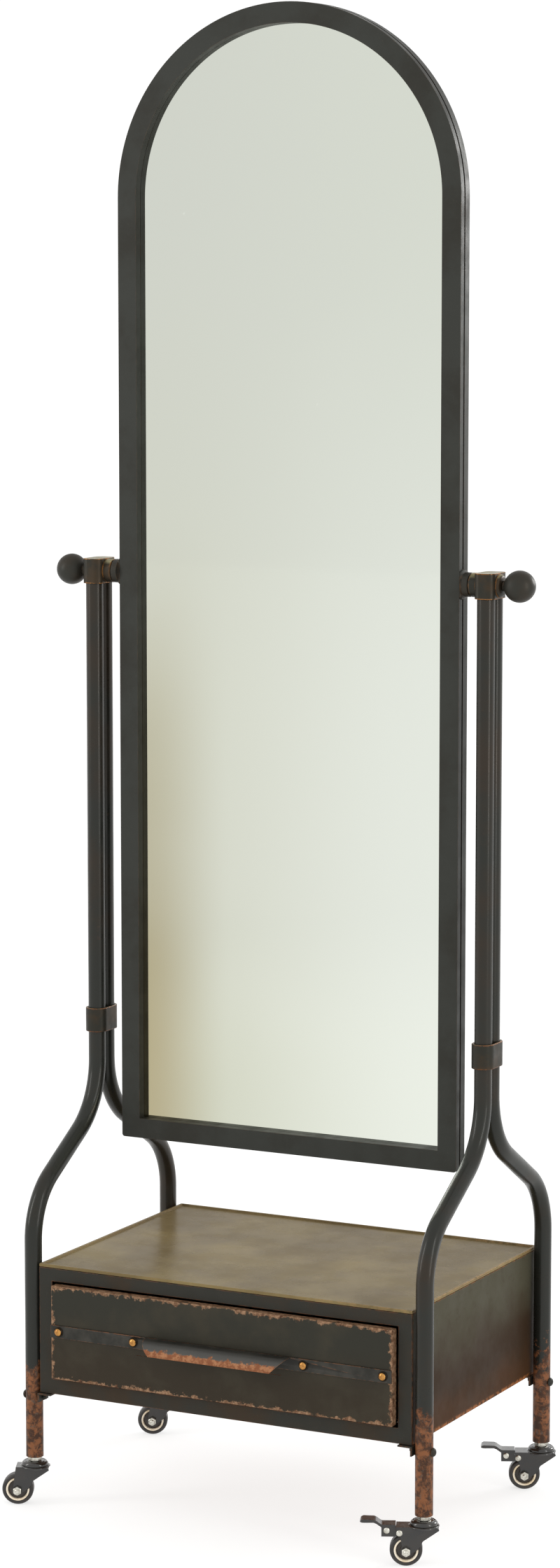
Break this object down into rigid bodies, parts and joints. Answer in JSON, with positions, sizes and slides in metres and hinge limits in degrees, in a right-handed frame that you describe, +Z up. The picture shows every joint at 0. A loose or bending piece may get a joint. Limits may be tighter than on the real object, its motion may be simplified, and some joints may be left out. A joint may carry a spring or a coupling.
{
  "type": "cheval floor mirror",
  "caption": "Rolling arched floor mirror on bent black tube legs, tilting between ball knobs above a sheet-metal drawer case.",
  "frame": {"origin": "on the floor, under the middle of the overall footprint", "axes": "+Z up, -Y towards the person looking into the mirror, +X to that person's right"},
  "size_m": [0.6654, 0.4175, 1.8853],
  "materials": {
    "black_paint": "semi-gloss, rubbed to warm metal along the edges",
    "bronze_paint": "satin, touched with rust",
    "brass": "aged",
    "mirror_glass": "silvered",
    "backing_board": "matt fibreboard",
    "zinc": "zinc plated",
    "gloss_black": "gloss",
    "wheel_rubber": "smooth",
    "nylon": "matt"
  },
  "bodies": {
    "stand": {"band_clip_left": "bronze_paint", "band_clip_right": "bronze_paint", "case_bottom": "black_paint", "case_shell": "black_paint", "case_top": "black_paint", "drawer_runner_left": "zinc", "drawer_runner_right": "zinc", "face_frame": "black_paint", "front_left_bracket": "black_paint", "front_left_caster_stem": "zinc", "front_left_leg": "black_paint", "front_left_leg_bolt": "black_paint", "front_left_leg_insert": "nylon", "front_right_bracket": "black_paint", "front_right_caster_stem": "zinc", "front_right_leg": "black_paint", "front_right_leg_bolt": "black_paint", "front_right_leg_insert": "nylon", "pivot_head_left": "black_paint", "pivot_head_right": "black_paint", "rear_left_bracket": "black_paint", "rear_left_caster_stem": "zinc", "rear_left_leg": "black_paint", "rear_left_leg_bolt": "black_paint", "rear_left_leg_insert": "nylon", "rear_right_bracket": "black_paint", "rear_right_caster_stem": "zinc", "rear_right_leg": "black_paint", "rear_right_leg_bolt": "black_paint", "rear_right_leg_insert": "nylon"},
    "mirror": {"mirror_front_frame": "black_paint", "mirror_rear_frame": "black_paint", "mirror_glass": "mirror_glass", "mirror_backing": "backing_board", "pivot_barrel_left": "black_paint", "pivot_barrel_right": "black_paint"},
    "drawer": {"drawer_tray": "black_paint", "drawer_front": "black_paint", "drawer_pull": "black_paint", "drawer_rivet_1": "brass", "drawer_rivet_2": "brass", "drawer_rivet_3": "brass", "drawer_rivet_4": "brass"},
    "knob_left": {"ball_knob_left": "black_paint"},
    "knob_right": {"ball_knob_right": "black_paint"},
    "caster_front_left": {"front_left_caster_fork": "gloss_black", "front_left_caster_axle": "zinc"},
    "wheel_front_left": {"front_left_caster_wheel": "wheel_rubber"},
    "caster_front_right": {"front_right_caster_fork": "gloss_black", "front_right_caster_axle": "zinc"},
    "wheel_front_right": {"front_right_caster_wheel": "wheel_rubber"},
    "caster_rear_left": {"rear_left_caster_fork": "gloss_black", "rear_left_caster_axle": "zinc"},
    "wheel_rear_left": {"rear_left_caster_wheel": "wheel_rubber"},
    "caster_rear_right": {"rear_right_caster_fork": "gloss_black", "rear_right_caster_axle": "zinc"},
    "wheel_rear_right": {"rear_right_caster_wheel": "wheel_rubber"},
    "brake_front_right": {"front_right_brake_lever": "gloss_black"},
    "brake_rear_right": {"rear_right_brake_lever": "gloss_black"}
  },
  "joints": [
    {"name": "mirror_tilt", "type": "hinge", "parent": "stand", "child": "mirror", "pos_m": [0, 0.0125, 1.179], "axis": [1, 0, 0], "continuous": true},
    {"name": "drawer_slide", "type": "slide", "parent": "stand", "child": "drawer", "axis": [0, -1, 0], "range_m": [0, 0.29]},
    {"name": "knob_left_turn", "type": "hinge", "parent": "stand", "child": "knob_left", "pos_m": [-0.312, 0.0125, 1.179], "axis": [-1, 0, 0], "range_deg": [0, 360]},
    {"name": "knob_right_turn", "type": "hinge", "parent": "stand", "child": "knob_right", "pos_m": [0.312, 0.0125, 1.179], "axis": [1, 0, 0], "range_deg": [0, 360]},
    {"name": "front_left_swivel", "type": "hinge", "parent": "stand", "child": "caster_front_left", "pos_m": [-0.2735, -0.1645, 0.05], "axis": [0, 0, 1], "continuous": true},
    {"name": "front_left_wheel_spin", "type": "hinge", "parent": "caster_front_left", "child": "wheel_front_left", "pos_m": [-0.29299, -0.17359, 0.02], "axis": [0.4226, -0.9063, 0], "continuous": true},
    {"name": "front_right_swivel", "type": "hinge", "parent": "stand", "child": "caster_front_right", "pos_m": [0.2735, -0.1645, 0.05], "axis": [0, 0, 1], "continuous": true},
    {"name": "front_right_wheel_spin", "type": "hinge", "parent": "caster_front_right", "child": "wheel_front_right", "pos_m": [0.25401, -0.17359, 0.02], "axis": [0.4226, -0.9063, 0], "continuous": true},
    {"name": "front_right_brake", "type": "hinge", "parent": "caster_front_right", "child": "brake_front_right", "pos_m": [0.24667, -0.17701, 0.0425], "axis": [0.4226, -0.9063, 0], "range_deg": [0, 17]},
    {"name": "rear_left_swivel", "type": "hinge", "parent": "stand", "child": "caster_rear_left", "pos_m": [-0.2735, 0.1895, 0.05], "axis": [0, 0, 1], "continuous": true},
    {"name": "rear_left_wheel_spin", "type": "hinge", "parent": "caster_rear_left", "child": "wheel_rear_left", "pos_m": [-0.29299, 0.18041, 0.02], "axis": [0.4226, -0.9063, 0], "continuous": true},
    {"name": "rear_right_swivel", "type": "hinge", "parent": "stand", "child": "caster_rear_right", "pos_m": [0.2735, 0.1895, 0.05], "axis": [0, 0, 1], "continuous": true},
    {"name": "rear_right_wheel_spin", "type": "hinge", "parent": "caster_rear_right", "child": "wheel_rear_right", "pos_m": [0.25401, 0.18041, 0.02], "axis": [0.4226, -0.9063, 0], "continuous": true},
    {"name": "rear_right_brake", "type": "hinge", "parent": "caster_rear_right", "child": "brake_rear_right", "pos_m": [0.24667, 0.17699, 0.0425], "axis": [0.4226, -0.9063, 0], "range_deg": [0, 17]}
  ]
}
